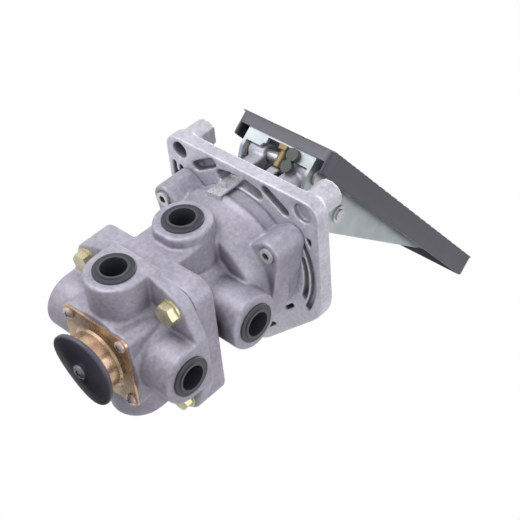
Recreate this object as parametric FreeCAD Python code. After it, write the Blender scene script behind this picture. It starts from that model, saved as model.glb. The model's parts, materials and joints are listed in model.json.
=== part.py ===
import FreeCAD, Part
import math
import os

# Foot brake valve: a treadle works a two-circuit brake valve through a roller and a plunger.
# +Z runs up the valve axis, +X towards the free end of the treadle, and Z = 0 is the plane of
# the three standoff ends that the vehicle floor sits on. All sizes are in millimetres.

V = FreeCAD.Vector

# Fits and gaps
running_gap = 0.05
loose_gap = 0.1
air_gap = 0.3

# Heights along the valve axis, measured down from the floor plane
standoff_height = 16.5
plate_thickness = 10.0
can_height = 39.0
neck_height = 29.0
upper_flange_thickness = 19.5
lower_flange_thickness = 9.0
lower_body_height = 38.1

plate_top = -standoff_height
plate_under = plate_top - plate_thickness
can_front = plate_under - can_height
upper_flange_top = can_front - neck_height
seam = upper_flange_top - upper_flange_thickness
lower_flange_under = seam - lower_flange_thickness
cap_seat = seam - lower_body_height

# Mounting plate
plate_half_width = 65.0
plate_back = 62.0
plate_nose = 92.0
plate_back_corner = 10.0
plate_shoulder_corner = 30.0
plate_nose_corner = 18.0
hole_back = 52.6
hole_side = 52.5
hole_front = 74.3
plate_rim = 7.0
plate_recess = 5.0
recess_back_edge = 34.0
standoff_land = 2.0
hub_ring_margin = 2.0
hub_groove_inner = 56.0
hub_groove_outer = 60.0
hub_groove_depth = 4.0
hub_groove_angle = 93.0
hub_groove_spread = 60.0
arc_slot_inner = 50.5
arc_slot_outer = 54.3
arc_slot_spread = 36.0
arc_slot_angle = 88.0
short_slot_angle = 45.0
short_slot_spread = 10.0
short_slot_inner = 48.8
short_slot_outer = 51.4
back_slot_inner = 47.0
back_slot_outer = 56.0
back_slot_spread = 34.0
core_pocket_depth = 6.0
corner_pocket_radius = 3.6
corner_pocket_start = (-55.6, 23.1)
corner_pocket_end = (-46.4, 37.9)
edge_pocket_radius = 1.6
edge_pocket_outer = (-40.0, -18.0, 59.5)
edge_pocket_inner = (-39.0, -24.0, 53.5)

# Standoffs and their threaded holes
standoff_radius = 9.5
stud_hole_radius = 5.1
stud_mouth_radius = 6.0
stud_mouth_depth = 8.0
blind_thread_depth = 18.0
blind_core_radius = 7.0
blind_core_depth = 4.0
standoff_flat_offset = 7.0
standoff_flat_length = 12.5

# Tower that carries the treadle
tower_half_width = 25.0
tower_front = 46.0
tower_height = 32.0
tower_corner = 9.0
tower_wall = 5.5
tower_front_wall = 6.5
tower_flare = 5.0
tower_flare_height = 5.0
tower_floor_height = 8.5
notch_half_width = 10.5
notch_floor_depth = 3.0
tower_top = plate_top + tower_height
tower_floor = plate_top + tower_floor_height

# Treadle hinge
hinge_x = -43.0
hinge_z = 14.5
hinge_pin_radius = 4.0
hinge_barrel_radius = 7.25
hinge_barrel_inner = 12.0
pin_head_radius = 5.6
pin_head_thickness = 2.0
pin_tail = 1.2
clip_thickness = 1.0
clip_radius = 6.2
clip_mouth = 3.2
clip_groove_depth = 0.6

# Treadle, measured along it from the heel and square to it from the tread face
treadle_angle = 38.16
hinge_along = 12.5
hinge_depth = 18.5
pad_length = 257.3
pad_half_width = 39.9
pad_thickness = 5.0
pad_skirt_depth = 17.0
pad_skirt_wall = 2.4
pad_corner = 7.0
pad_edge_round = 1.2
heel_lip_depth = 8.5
heel_lip_end = 2.0
tread_relief = 1.0
fine_tread_length = 60.0
fine_tread_rows = 9
coarse_tread_rows = 18
tread_block_share = 0.62
tread_columns = 3
tread_margin = 1.0
tread_column_gap = 2.5
treadle_plate_thickness = 2.0
channel_thickness = 3.0
gusset_thickness = 2.5
bracket_half_width = 28.5
channel_bend_radius = 2.0
bracket_start = 1.5
gusset_end = 199.5
gusset_tip_depth = 14.6
gusset_tip_radius = 3.0
gusset_corner_along = 19.0
gusset_corner_depth = 52.2
gusset_corner_radius = 8.0
gusset_heel_depth = 22.0
gusset_heel_radius = 6.0
gusset_slot_start = 50.0
gusset_slot_end = 66.0
gusset_slot_radius = 1.4
gusset_slot_depth = 14.5
heel_flange_half_width = 27.0
heel_flange_depth = 17.0
heel_cutout_half_width = 11.0
heel_scallop_radius = 3.0
bush_radius = 5.4
bush_collar_outer = 7.0

# Stop screw, its locknut and the rubber buffer beside it
screw_along = 4.6
screw_side = -3.2
stop_screw_radius = 3.0
stop_screw_depth = 25.0
screw_tip_chamfer = 0.8
nut_flats = 10.0
nut_thickness = 3.2
stop_pad_half_width = 3.5
buffer_side = -13.6
buffer_thickness = 4.0
buffer_upper_radius = 4.4
buffer_upper_depth = 13.7
buffer_lower_radius = 4.0
buffer_lower_depth = 21.8
buffer_neck_radius = 2.0
buffer_head_radius = 2.8
buffer_head_thickness = 1.0

# Roller
roller_radius = 10.0
roller_half_width = 8.0
roller_height = 33.6
roller_pin_radius = 4.0
roller_chamfer = 0.8
spacer_radius = 5.0

# Plunger, its bush and boot
plunger_head_radius = 12.0
plunger_head_thickness = 4.0
plunger_radius = 8.0
plunger_chamfer = 0.8
bush_outer_radius = 11.0
bush_flange_radius = 13.5
bush_flange_thickness = 2.5
boot_radius = 17.5
boot_reach = 20.0
boot_neck_radius = 10.4
boot_neck_reach = 1.5
boot_wall = 1.4
boot_fold_depth = 2.4
boot_fold_count = 5
boot_lip_height = 2.0

# Upper body
can_front_radius = 43.0
can_cone_radius = 47.0
can_bead_radius = 48.5
can_bead_height = 5.0
can_rim_radius = 46.0
can_rim_height = 10.0
can_edge = 1.0
neck_radius = 30.0
ear_screw_circle = 55.5
ear_boss_radius = 9.0
ear_angle = 126.0
ear_height = 25.0
ear_screw_radius = 3.0
ear_screw_proud = 1.5
ear_counterbore_depth = 4.5
ear_head_radius = 5.0
ear_head_height = 6.0
ear_socket_flats = 5.0
ear_socket_depth = 3.0
ear_thread_end = 2.5

# Sheet clip that hangs in the plate's back slot and hooks under the can's bead
spring_clip_angle = 172.0
spring_clip_width = 12.0
spring_clip_thickness = 1.2
spring_clip_above = 6.0
spring_clip_tongue = 5.0
spring_clip_tongue_out = 3.0

# Port bosses and the ring inserts in them
port_face = 54.0
upper_port_height = 19.0
lower_port_height = 20.6
boss_radius = 19.0
boss_edge_round = 1.5
port_thread_radius = 10.2
port_depth = 16.0
gallery_radius = 6.5
insert_flange_radius = 13.15
insert_flange_thickness = 1.5
insert_bore_radius = 8.25
insert_length = 13.0
insert_lip_radius = 9.8
insert_lip_height = 0.7
insert_edge = 0.4

upper_port_z = upper_flange_top + upper_port_height
lower_port_z = cap_seat + lower_port_height

# Flanges between the two bodies
bolt_offset = 36.1
lug_radius = 10.5
bolt_radius = 4.0
bolt_depth = 12.0
bolt_hole_spare = 2.0
bolt_head_flats = 13.0
bolt_head_height = 5.3
washer_radius = 8.2
washer_thickness = 1.6
bolt_clearance = 0.5
body_seal_inner = 31.0
body_seal_outer = 34.0
body_seal_depth = 2.4

# Exhaust end
cap_half_width = 28.0
cap_corner = 5.0
cap_thickness = 1.5
cap_screw_offset = 22.65
cap_screw_radius = 2.0
cap_screw_head_radius = 3.9
cap_screw_head_height = 2.8
cap_screw_depth = 9.0
cap_stub_radius = 19.5
cap_stub_length = 13.3
cap_stub_bend = 2.4
cap_vent_radius = 4.4
cap_vent_circle = 10.8
cap_vent_count = 4
flap_radius = 25.0
flap_thickness = 3.0
flap_edge = 0.8
flap_screw_head_radius = 4.75
flap_screw_head_height = 2.4
flap_screw_radius = 2.0
flap_screw_spare = 1.5
flap_nut_flats = 7.0
flap_nut_height = 3.2
core_half_width = 28.5
core_corner = 6.0
core_blend_low = 31.0
core_blend_high = 38.0

# Working parts inside
piston_radius = 30.0
piston_floor_depth = 33.5
piston_crown_depth = 11.5
piston_height = 10.0
piston_pocket_depth = 5.3
piston_pocket_gap = 1.0
seal_rise = 3.0
cup_radius = 18.0
cup_thickness = 3.0
cup_drop = 0.8
spring_rubber_radius = 16.0
spring_rubber_hole = 5.0
spring_rubber_waist = 2.5
seal_width = 3.0
seal_depth = 2.4
seat_opening_radius = 13.0
seat_web = 6.0
stem_radius = 8.0
stem_bore = 5.0
valve_lift_gap = 2.0
valve_disc_radius = 16.0
valve_disc_thickness = 5.0
valve_chamber_radius = 18.0
upper_chamber_height = 16.0
lower_chamber_height = 19.0
valve_stem_radius = 9.0
valve_bore = 4.5
guide_radius = 20.0
guide_thickness = 6.0
guide_vent_radius = 2.2
guide_vent_circle = 14.5
guide_vent_count = 3
guide_ring_thickness = 1.2
guide_ring_depth = 1.0
guide_ring_width = 3.0
guide_ring_mouth = 6.0
relay_radius = 28.0
relay_bore_depth = 18.0
relay_headroom = 2.0
relay_height = 8.0
relay_pocket_depth = 4.0
relay_seal_rise = 2.5
delivery_radius = 3.5
delivery_circle = 24.0
wire_radius = 1.1
wire_sides = 8
lengths_per_turn = 20
piston_spring_radius = 24.0
piston_spring_turns = 2.0
relay_spring_radius = 19.0
relay_spring_turns = 2.5
valve_spring_radius = 12.5
valve_spring_turns = 2.5
cut_margin = 1.0

cos_t = math.cos(math.radians(treadle_angle))
sin_t = math.sin(math.radians(treadle_angle))
heel_x = hinge_x - hinge_along * cos_t - hinge_depth * sin_t
heel_z = hinge_z - hinge_along * sin_t + hinge_depth * cos_t
roller_along = hinge_along - hinge_x * cos_t + (roller_height - hinge_z) * sin_t
roller_depth = hinge_depth - hinge_x * sin_t - (roller_height - hinge_z) * cos_t
channel_top = pad_thickness + treadle_plate_thickness
channel_face = channel_top + channel_thickness
head_top = roller_height - roller_radius - air_gap
head_under = head_top - plunger_head_thickness
plunger_foot = plate_under - cup_drop
cup_foot = plunger_foot - cup_thickness
piston_floor = plate_under - piston_floor_depth
crown_top = plate_under - piston_crown_depth
crown_under = crown_top - piston_height
rubber_foot = crown_top - piston_pocket_depth
seat_under = piston_floor - seat_web
upper_guide_top = seat_under - upper_chamber_height
upper_guide_foot = upper_guide_top - guide_thickness
relay_bore_top = seam + relay_bore_depth
relay_top = relay_bore_top - relay_headroom
relay_under = relay_top - relay_height
relay_floor = seam - relay_pocket_depth
relay_seat_under = relay_floor - seat_web
lower_guide_top = relay_seat_under - lower_chamber_height
lower_guide_foot = lower_guide_top - guide_thickness
cap_end = cap_seat - cap_thickness - cap_stub_length
flap_seat = cap_end - loose_gap
flap_face = flap_seat - flap_thickness


def rod(radius, z0, z1, x=0.0, y=0.0):
    """Upright cylinder between two heights."""
    return Part.makeCylinder(radius, z1 - z0, V(x, y, z0))


def tube(outer, inner, z0, z1, x=0.0, y=0.0):
    """Upright tube between two heights."""
    return rod(outer, z0, z1, x, y).cut(rod(inner, z0, z1, x, y))


def cross_rod(radius, y0, y1, x, z):
    """Cylinder along Y."""
    return Part.makeCylinder(radius, y1 - y0, V(x, y0, z), V(0, 1, 0))


def cross_tube(outer, inner, y0, y1, x, z):
    """Tube along Y."""
    return cross_rod(outer, y0, y1, x, z).cut(cross_rod(inner, y0, y1, x, z))


def block(x0, x1, y0, y1, z0, z1):
    """Box between two corners."""
    return Part.makeBox(x1 - x0, y1 - y0, z1 - z0, V(x0, y0, z0))


def cone(r0, r1, z0, z1):
    """Upright cone between two heights."""
    return Part.makeCone(r0, r1, z1 - z0, V(0, 0, z0))


def joined(shapes):
    """All shapes fused into one clean solid."""
    return shapes[0].multiFuse(shapes[1:]).removeSplitter()


def turned(profile):
    """Solid of revolution about Z from (radius, height) corners."""
    points = [V(r, 0, z) for r, z in profile]
    face = Part.Face(Part.makePolygon(points + [points[0]]))
    return face.revolve(V(0, 0, 0), V(0, 0, 1), 360)


def rounded_wire(corners, z=0.0):
    """Closed outline in the XY plane. Each corner is (x, y, radius)."""
    count = len(corners)
    cuts = []
    for i in range(count):
        x, y, radius = corners[i]
        here = V(x, y, z)
        back = V(corners[i - 1][0], corners[i - 1][1], z) - here
        ahead = V(corners[(i + 1) % count][0], corners[(i + 1) % count][1], z) - here
        back.normalize()
        ahead.normalize()
        half = back.getAngle(ahead) / 2
        reach = radius / math.tan(half)
        middle = back + ahead
        middle.normalize()
        centre = here + middle * (radius / math.sin(half))
        cuts.append((here + back * reach, centre - middle * radius, here + ahead * reach))
    edges = []
    for i in range(count):
        start, crown, end = cuts[i]
        if corners[i][2] > 0:
            edges.append(Part.Arc(start, crown, end).toShape())
        following = cuts[(i + 1) % count][0]
        if end.distanceToPoint(following) > 1e-6:
            edges.append(Part.LineSegment(end, following).toShape())
    return Part.Wire(edges)


def prism(corners, z0, z1):
    """Upright prism on a rounded outline."""
    return Part.Face(rounded_wire(corners, z0)).extrude(V(0, 0, z1 - z0))


def capsule(x0, y0, x1, y1, radius, z0, z1):
    """Upright slot with round ends."""
    along = V(x1 - x0, y1 - y0, 0)
    along.normalize()
    side = V(-along.y, along.x, 0) * radius
    corners = [V(x0, y0, z0) + side, V(x0, y0, z0) - side, V(x1, y1, z0) - side, V(x1, y1, z0) + side]
    body = Part.Face(Part.makePolygon(corners + [corners[0]])).extrude(V(0, 0, z1 - z0))
    return joined([body, rod(radius, z0, z1, x0, y0), rod(radius, z0, z1, x1, y1)])


def arc_slot(inner, outer, centre_angle, spread, z0, z1):
    """Curved slot concentric with the valve axis, with round ends."""
    middle = (inner + outer) / 2
    radius = (outer - inner) / 2
    first = math.radians(centre_angle - spread / 2)
    sector = tube(outer, inner, z0, z1)
    keep = Part.makeCylinder(outer + radius, z1 - z0, V(0, 0, z0), V(0, 0, 1), spread)
    keep.rotate(V(0, 0, 0), V(0, 0, 1), math.degrees(first))
    ends = []
    for angle in (first, math.radians(centre_angle + spread / 2)):
        ends.append(rod(radius, z0, z1, middle * math.cos(angle), middle * math.sin(angle)))
    return joined([sector.common(keep)] + ends)


def hexagon(flats, z0, z1, x=0.0, y=0.0):
    """Upright hexagonal prism by its width across flats."""
    corner = flats / math.sqrt(3)
    points = []
    for i in range(6):
        angle = math.radians(60 * i + 30)
        points.append(V(x + corner * math.cos(angle), y + corner * math.sin(angle), z0))
    return Part.Face(Part.makePolygon(points + [points[0]])).extrude(V(0, 0, z1 - z0))


def coil(mean_radius, wire, z0, z1, turns):
    """Compression spring between two heights, as a chain of short straight lengths."""
    low = z0 + wire
    high = z1 - wire
    lengths = round(turns * lengths_per_turn)
    rings = []
    for step in range(lengths + 1):
        share = step / lengths
        corners = []
        for side in range(wire_sides):
            around = 2 * math.pi * side / wire_sides
            out = mean_radius + wire * math.cos(around)
            corners.append(V(out, 0, low + (high - low) * share + wire * math.sin(around)))
        ring = Part.makePolygon(corners + [corners[0]])
        ring.rotate(V(0, 0, 0), V(0, 0, 1), 360 * turns * share)
        rings.append(ring)
    return Part.makeLoft(rings, True, True)


def on_treadle(shape):
    """Carries a shape from the treadle's own frame to its place at rest."""
    shape.rotate(V(0, 0, 0), V(0, 1, 0), -treadle_angle)
    shape.translate(V(heel_x, 0, heel_z))
    return shape


def along_rod(radius, a0, a1, side, normal):
    """Cylinder along the treadle, in the treadle's own frame."""
    return Part.makeCylinder(radius, a1 - a0, V(a0, side, normal), V(1, 0, 0))


def corner_places(offset):
    """The four corners of a square about the valve axis."""
    return [(sx * offset, sy * offset) for sx in (-1, 1) for sy in (-1, 1)]


def ear_places():
    """Centres of the three ears that hold the can to the plate."""
    places = []
    for angle in (-ear_angle, 0.0, ear_angle):
        turn = math.radians(angle)
        places.append((ear_screw_circle * math.cos(turn), ear_screw_circle * math.sin(turn)))
    return places


def square(half, corner):
    """Corners of a rounded square about the valve axis."""
    return [(-half, -half, corner), (half, -half, corner), (half, half, corner), (-half, half, corner)]


def tower_outline(grow):
    """Plan of the tower: square towards the heel, round about the valve axis."""
    side = tower_half_width + grow
    front = -tower_front - grow
    corner = tower_corner + grow
    round_end = side - running_gap
    return [(front, -side, corner), (side, -side, round_end), (side, side, round_end), (front, side,
                                                                                        corner)]


def plate_outline(inset):
    """Plan of the mounting plate, moved inwards by an inset."""
    side = plate_half_width - inset
    back = -plate_back + inset
    nose = plate_nose - inset * math.sqrt(2)
    corner = plate_back_corner - inset
    shoulder = plate_shoulder_corner - inset
    tip = plate_nose_corner - inset
    return [(back, -side, corner), (nose - side, -side, shoulder), (nose, 0, tip),
            (nose - side, side, shoulder), (back, side, corner)]


def capsule_wire(reach, radius, z):
    """Outline of a slot with round ends that runs from the valve axis towards the heel."""
    near_low = V(0, -radius, z)
    near_high = V(0, radius, z)
    far_high = V(-reach, radius, z)
    far_low = V(-reach, -radius, z)
    return Part.Wire([Part.Arc(near_low, V(radius, 0, z), near_high).toShape(),
                      Part.LineSegment(near_high, far_high).toShape(),
                      Part.Arc(far_high, V(-reach - radius, 0, z), far_low).toShape(),
                      Part.LineSegment(far_low, near_low).toShape()])


def plate_underside_cuts():
    """Recess, groove, slots and cored pockets in the plate's underside."""
    recess_top = plate_under + plate_recess
    recess = prism(plate_outline(plate_rim), plate_under, recess_top)
    recess = recess.cut(rod(plate_half_width - hub_ring_margin, plate_under, recess_top))
    recess = recess.cut(block(-plate_back, -recess_back_edge, -plate_half_width, plate_half_width,
                              plate_under, recess_top))
    recess = recess.cut(rod(standoff_radius + standoff_land, plate_under, recess_top, hole_front))
    cuts = [recess]
    for side in (-1, 1):
        cuts.append(arc_slot(hub_groove_inner, hub_groove_outer, side * hub_groove_angle,
                             hub_groove_spread,
                             plate_under, plate_under + hub_groove_depth))
        cuts.append(arc_slot(arc_slot_inner, arc_slot_outer, side * arc_slot_angle, arc_slot_spread,
                             plate_under, plate_top))
        cuts.append(arc_slot(short_slot_inner, short_slot_outer, side * short_slot_angle,
                             short_slot_spread,
                             plate_under, plate_top))
    cuts.append(arc_slot(back_slot_inner, back_slot_outer, 180.0, back_slot_spread, plate_under,
                         plate_top))
    pocket_top = plate_under + core_pocket_depth
    for side in (-1, 1):
        cuts.append(capsule(corner_pocket_start[0], side * corner_pocket_start[1], corner_pocket_end[0],
                            side * corner_pocket_end[1], corner_pocket_radius, plate_under, pocket_top))
    for x0, x1, y in (edge_pocket_outer, edge_pocket_inner):
        cuts.append(capsule(x0, y, x1, y, edge_pocket_radius, plate_under, pocket_top))
    return cuts


def tower_solid():
    """Tower with its flared foot, hinge barrels, pocket, notch and stop pad."""
    wall = prism(tower_outline(0), plate_top, tower_top)
    foot = Part.makeLoft([rounded_wire(tower_outline(tower_flare), plate_top),
                          rounded_wire(tower_outline(0), plate_top + tower_flare_height)], True)
    barrels = [cross_rod(hinge_barrel_radius, -tower_half_width, -hinge_barrel_inner, hinge_x, hinge_z),
               cross_rod(hinge_barrel_radius, hinge_barrel_inner, tower_half_width, hinge_x, hinge_z)]
    inside = tower_half_width - tower_wall
    above = tower_top + hinge_barrel_radius + cut_margin
    inner_face = -tower_front + tower_front_wall
    outline = capsule_wire(-inner_face - inside, inside, tower_floor)
    pocket = Part.Face(outline).extrude(V(0, 0, above - tower_floor))
    for barrel in barrels:
        pocket = pocket.cut(barrel)
    notch = block(-tower_front - cut_margin, inner_face + inside, -notch_half_width, notch_half_width,
                  -notch_floor_depth, above)
    solid = joined([wall, foot] + barrels).cut(pocket).cut(notch)
    pad = block(screw_along - tower_front, screw_along + tower_front, screw_side - stop_pad_half_width,
                screw_side + stop_pad_half_width, -tower_front * 2, -stop_screw_depth - air_gap)
    pad = on_treadle(pad).common(block(-tower_front, inner_face, -notch_half_width, notch_half_width,
                                       -notch_floor_depth - cut_margin, hinge_z - hinge_pin_radius - air_gap))
    return joined([solid, pad])


def mounting_plate():
    """Cast plate with the tower, the standoffs and every hole in it."""
    slab = prism(plate_outline(0), plate_under, plate_top)
    for cut in plate_underside_cuts():
        slab = slab.cut(cut)
    through = (-hole_back, hole_side)
    blind = (-hole_back, -hole_side)
    front = (hole_front, 0.0)
    posts = [rod(standoff_radius, plate_top, 0, x, y) for x, y in (through, blind, front)]
    solid = joined([slab, tower_solid()] + posts)
    below = plate_under - cut_margin
    for side in (-1, 1):
        flat = side * (hole_side - standoff_flat_offset)
        far = flat - side * standoff_radius
        solid = solid.cut(block(-hole_back - standoff_radius, -hole_back + standoff_radius,
                                min(flat, far), max(flat, far), -standoff_flat_length, cut_margin))
    for x, y in (through, front):
        solid = solid.cut(rod(stud_hole_radius, below, cut_margin, x, y))
        solid = solid.cut(rod(stud_mouth_radius, below, plate_under + stud_mouth_depth, x, y))
    solid = solid.cut(rod(stud_hole_radius, -blind_thread_depth, cut_margin, blind[0], blind[1]))
    solid = solid.cut(rod(blind_core_radius, below, plate_under + blind_core_depth, blind[0], blind[1]))
    solid = solid.cut(rod(bush_outer_radius + running_gap, below, tower_floor + cut_margin))
    solid = solid.cut(cross_rod(hinge_pin_radius + running_gap, -tower_half_width - cut_margin,
                                tower_half_width + cut_margin, hinge_x, hinge_z))
    for x, y in ear_places():
        solid = solid.cut(rod(ear_screw_radius, below, plate_top - ear_thread_end + loose_gap, x, y))
    return solid


def port_hole(angle, z, inner):
    """Threaded port and the gallery behind it, along one side of the body."""
    foot = port_face - port_depth
    thread = Part.makeCylinder(port_thread_radius, port_depth + cut_margin, V(foot, 0, z), V(1, 0, 0))
    gallery = Part.makeCylinder(gallery_radius, foot - inner + cut_margin, V(inner, 0, z), V(1, 0, 0))
    hole = thread.fuse(gallery)
    hole.rotate(V(0, 0, 0), V(0, 0, 1), angle)
    return hole


def port_boss(angle, z, top):
    """Round boss whose sides run straight up to a height."""
    boss = Part.makeCylinder(boss_radius, port_face, V(0, 0, z), V(1, 0, 0))
    rim = [e for e in boss.Edges if e.BoundBox.XMin > port_face - running_gap]
    boss = boss.makeFillet(boss_edge_round, rim)
    if top > z:
        boss = boss.fuse(block(0, port_face, -boss_radius, boss_radius, z, top))
        boss = boss.cut(block(-cut_margin, port_face + cut_margin, -boss_radius * 2, boss_radius * 2,
                              top, z + boss_radius * 2))
    boss.rotate(V(0, 0, 0), V(0, 0, 1), angle)
    return boss


def lower_flange():
    """Flange with four flat sides as wide as the bosses and a round lug at each bolt."""
    centre = V(bolt_offset, bolt_offset, lower_flange_under)
    edges = []
    for turn in range(4):
        start = V(port_face, boss_radius, lower_flange_under)
        gap = start - centre
        swing = math.acos(lug_radius / gap.Length)
        heading = math.atan2(gap.y, gap.x)
        first = heading + swing
        last = math.pi / 2 - first
        touch = centre + V(math.cos(first), math.sin(first), 0) * lug_radius
        leave = centre + V(math.cos(last), math.sin(last), 0) * lug_radius
        crown = centre + V(math.cos(math.pi / 4), math.sin(math.pi / 4), 0) * lug_radius
        finish = V(boss_radius, port_face, lower_flange_under)
        face_start = V(port_face, -boss_radius, lower_flange_under)
        piece = [Part.LineSegment(face_start, start).toShape(), Part.LineSegment(start, touch).toShape(),
                 Part.Arc(touch, crown, leave).toShape(), Part.LineSegment(leave, finish).toShape()]
        for edge in piece:
            edge.rotate(V(0, 0, 0), V(0, 0, 1), 90 * turn)
            edges.append(edge)
    wire = Part.Wire(Part.__sortEdges__(edges))
    return Part.Face(wire).extrude(V(0, 0, lower_flange_thickness))


def ear_solid(x, y, side):
    """Ear on the can, drawn out along the can's wall on the side away from the heel."""
    z0 = plate_under - ear_height
    boss = rod(ear_boss_radius, z0, plate_under, x, y)
    start = math.atan2(y, x)
    outward = V(math.cos(start), math.sin(start), 0)
    across = V(-outward.y, outward.x, 0) * ear_boss_radius
    centre = V(x, y, z0)
    root = outward * (piston_radius + ear_boss_radius)
    root.z = z0
    if side == 0:
        points = [centre + across, root + across, root - across, centre - across]
    else:
        lean = math.acos((can_rim_radius - ear_boss_radius) / ear_screw_circle)
        tangent = start - side * lean
        away = V(math.cos(tangent), math.sin(tangent), 0)
        wall = away * can_rim_radius
        wall.z = z0
        back = centre + across * side
        points = [centre + away * ear_boss_radius, wall, root, root + across * side, back]
    web = Part.Face(Part.makePolygon(points + [points[0]])).extrude(V(0, 0, ear_height))
    return joined([boss, web])


def upper_body():
    """Upper casting: can with three ears, neck, two port bosses and a square flange."""
    rim_low = plate_under - can_rim_height
    bead_low = rim_low - can_bead_height
    can = turned([(0, can_front), (can_front_radius - can_edge, can_front),
                  (can_front_radius, can_front + can_edge), (can_cone_radius, bead_low),
                  (can_bead_radius, bead_low + can_edge), (can_bead_radius, rim_low - can_edge),
                  (can_rim_radius, rim_low), (can_rim_radius, plate_under), (0, plate_under)])
    neck = rod(neck_radius, upper_flange_top, can_front)
    flange = prism(square(bolt_offset + lug_radius, lug_radius), seam, upper_flange_top)
    bosses = [port_boss(180, upper_port_z, upper_port_z), port_boss(-90, upper_port_z, upper_port_z)]
    ears = [ear_solid(x, y, (y > 1) - (y < -1)) for x, y in ear_places()]
    solid = joined([can, neck, flange] + bosses + ears)
    solid = solid.cut(rod(piston_radius, piston_floor, plate_under + cut_margin))
    solid = solid.cut(rod(seat_opening_radius, seat_under - cut_margin, piston_floor + cut_margin))
    solid = solid.cut(rod(valve_chamber_radius, upper_guide_top, seat_under))
    solid = solid.cut(rod(guide_radius, relay_bore_top - cut_margin, upper_guide_top))
    solid = solid.cut(rod(guide_radius + guide_ring_depth,
                          upper_guide_foot - guide_ring_thickness - loose_gap,
                          upper_guide_foot))
    solid = solid.cut(rod(relay_radius, seam - cut_margin, relay_bore_top))
    solid = solid.cut(port_hole(180, upper_port_z, valve_chamber_radius - cut_margin))
    solid = solid.cut(port_hole(-90, upper_port_z, delivery_circle - delivery_radius / 2))
    solid = solid.cut(rod(delivery_radius, upper_port_z, piston_floor + cut_margin, 0, -delivery_circle))
    for x, y in corner_places(bolt_offset):
        solid = solid.cut(rod(bolt_radius + loose_gap, seam - cut_margin,
                              seam + bolt_depth + bolt_hole_spare, x, y))
    ear_under = plate_under - ear_height
    for x, y in ear_places():
        solid = solid.cut(rod(ear_screw_radius + loose_gap * 2, ear_under - cut_margin,
                              plate_under + cut_margin, x, y))
        solid = solid.cut(rod(ear_head_radius + loose_gap * 2, ear_under - cut_margin,
                              ear_under + ear_counterbore_depth, x, y))
    return solid


def lower_body():
    """Lower casting: core, four port bosses and the flange."""
    core = prism(square(core_half_width, core_corner), cap_seat, seam)
    blend = cone(core_blend_low, core_blend_high, cap_seat, lower_flange_under)
    bosses = [port_boss(angle, lower_port_z, seam) for angle in (0, 90, 180, -90)]
    solid = joined([core, blend, lower_flange()] + bosses)
    solid = solid.cut(rod(relay_radius, relay_floor, seam + cut_margin))
    solid = solid.cut(rod(seat_opening_radius, relay_seat_under - cut_margin, relay_floor + cut_margin))
    solid = solid.cut(rod(valve_chamber_radius, lower_guide_top, relay_seat_under))
    solid = solid.cut(rod(guide_radius, cap_seat - cut_margin, lower_guide_top))
    solid = solid.cut(rod(guide_radius + guide_ring_depth,
                          lower_guide_foot - guide_ring_thickness - loose_gap,
                          lower_guide_foot))
    for angle in (0, 180):
        solid = solid.cut(port_hole(angle, lower_port_z, valve_chamber_radius - cut_margin))
    for side in (-1, 1):
        solid = solid.cut(port_hole(side * 90, lower_port_z, delivery_circle - delivery_radius / 2))
        solid = solid.cut(rod(delivery_radius, lower_port_z, relay_floor + cut_margin, 0,
                              side * delivery_circle))
    for x, y in corner_places(bolt_offset):
        solid = solid.cut(rod(bolt_radius + bolt_clearance, lower_flange_under - cut_margin,
                              seam + cut_margin, x, y))
    for x, y in corner_places(cap_screw_offset):
        solid = solid.cut(rod(cap_screw_radius + running_gap, cap_seat - cut_margin,
                              cap_seat + cap_screw_depth + cut_margin, x, y))
    return solid.cut(tube(body_seal_outer + loose_gap, body_seal_inner - loose_gap,
                          seam - body_seal_depth,
                          seam + cut_margin))


def body_seal():
    """Ring seal in the groove between the two bodies."""
    return tube(body_seal_outer, body_seal_inner, seam - body_seal_depth, seam - running_gap)


def body_bolts():
    """Four hexagon bolts that clamp the lower body to the upper."""
    bolts = []
    seat = lower_flange_under - washer_thickness
    under = seat - bolt_head_height
    for x, y in corner_places(bolt_offset):
        bevel = Part.makeCone(bolt_head_flats / 2, bolt_head_flats / 2 + bolt_head_height * 2,
                              bolt_head_height,
                              V(x, y, under))
        head = hexagon(bolt_head_flats, under, seat, x, y).common(bevel)
        bolts.append(joined([head, rod(bolt_radius, seat - cut_margin, seam + bolt_depth, x, y)]))
    return Part.makeCompound(bolts)


def body_washers():
    """Washers under the four bolt heads."""
    seat = lower_flange_under - washer_thickness
    rings = [tube(washer_radius, bolt_radius + loose_gap, seat, lower_flange_under, x, y)
             for x, y in corner_places(bolt_offset)]
    return Part.makeCompound(rings)


def can_screws():
    """Socket screws that hold the upper body to the plate."""
    screws = []
    foot = plate_under - ear_height - ear_screw_proud
    shoulder = foot + ear_head_height
    for x, y in ear_places():
        head = rod(ear_head_radius, foot, shoulder, x, y)
        shank = rod(ear_screw_radius - running_gap, shoulder, plate_top - ear_thread_end, x, y)
        socket = hexagon(ear_socket_flats, foot - cut_margin, foot + ear_socket_depth, x, y)
        screws.append(joined([head, shank]).cut(socket))
    return Part.makeCompound(screws)


def spring_clip():
    """Sheet clip that hangs in the plate's back slot and hooks under the can's bead."""
    bead_low = plate_under - can_rim_height - can_bead_height
    half = spring_clip_width / 2
    inner = can_bead_radius + loose_gap
    outer = inner + spring_clip_thickness
    foot = bead_low - spring_clip_thickness - loose_gap
    leg = block(-outer, -inner, -half, half, foot, plate_under + spring_clip_above)
    hook = block(-outer, -can_cone_radius - loose_gap, -half, half, foot, foot + spring_clip_thickness)
    tongue_top = foot + can_bead_height + spring_clip_tongue
    tongue = block(-outer - spring_clip_tongue_out, -outer, -half / 2, half / 2,
                   tongue_top - spring_clip_thickness, tongue_top)
    clip = joined([leg, hook, tongue])
    clip.rotate(V(0, 0, 0), V(0, 0, 1), spring_clip_angle - 180.0)
    return clip


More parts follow.
